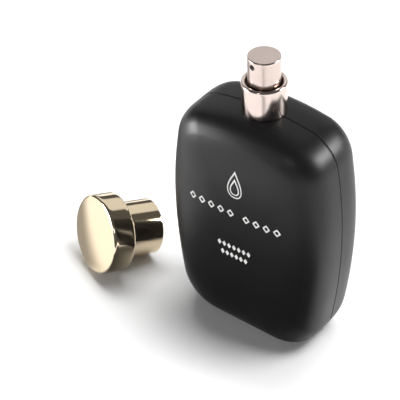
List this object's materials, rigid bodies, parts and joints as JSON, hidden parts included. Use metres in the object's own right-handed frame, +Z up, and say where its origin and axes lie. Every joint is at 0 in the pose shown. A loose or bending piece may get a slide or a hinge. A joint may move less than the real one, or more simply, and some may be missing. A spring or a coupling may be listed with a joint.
{
  "type": "aftershave bottle",
  "caption": "Pillow-shaped coated glass bottle with a crimped fine-mist pump, a rolled metal collar and a mushroom cap lying beside it.",
  "frame": {"origin": "centre of the flat base the bottle stands on, on the pump's axis", "axes": "+Z up along the pump, -Y towards the printed front face, +X to the right of that face; the cap lies at -X"},
  "size_m": [0.1226, 0.0486, 0.1251],
  "materials": {
    "coated_glass": "opaque soft-touch black coating",
    "seal_rubber": "matt",
    "bare_aluminium": "mill finish",
    "rose_metal": "polished, rose anodised",
    "pale_metal": "satin, pale rose anodised",
    "gold_metal": "polished, pale gold anodised",
    "steel": "bright",
    "natural_plastic": "natural polypropylene",
    "black_plastic": "moulded black",
    "white_print": "matt screen-printed ink"
  },
  "bodies": {
    "bottle": {"glass_bottle": "coated_glass", "neck_gasket": "seal_rubber", "crimp_ferrule": "bare_aluminium", "collar": "rose_metal", "pump_housing": "natural_plastic", "turret": "natural_plastic", "stem_washer": "seal_rubber", "dip_tube": "natural_plastic", "return_spring": "steel"},
    "ball": {"inlet_ball": "steel"},
    "plunger": {"stem": "natural_plastic", "poppet": "natural_plastic", "valve_spring": "steel"},
    "piston": {"piston": "natural_plastic"},
    "actuator": {"actuator_core": "natural_plastic", "actuator_sleeve": "pale_metal", "nozzle_insert": "black_plastic"},
    "cap": {"cap_shell": "gold_metal", "cap_liner": "black_plastic", "cap_weight": "steel"}
  },
  "joints": [
    {"name": "actuator_press", "type": "slide", "parent": "bottle", "child": "plunger", "axis": [0, 0, -1], "range_m": [0, 0.0042], "stiffness_N_per_m": 1200, "springref_m": -0.003, "deforming": ["return_spring"]},
    {"name": "piston_slip", "type": "slide", "parent": "plunger", "child": "piston", "axis": [0, 0, 1], "range_m": [0, 0.0008], "stiffness_N_per_m": 800, "springref_m": -0.004, "deforming": ["valve_spring"]},
    {"name": "actuator_turn", "type": "hinge", "parent": "plunger", "child": "actuator", "pos_m": [0, 0, 0.119], "axis": [0, 0, 1], "continuous": true},
    {"name": "ball_lift", "type": "slide", "parent": "bottle", "child": "ball", "axis": [0, 0, 1], "range_m": [0, 0.0008]},
    {"name": "cap_lift", "type": "slide", "parent": "bottle", "child": "cap", "axis": [0, 0, 1], "range_m": [0, 0.11]}
  ]
}
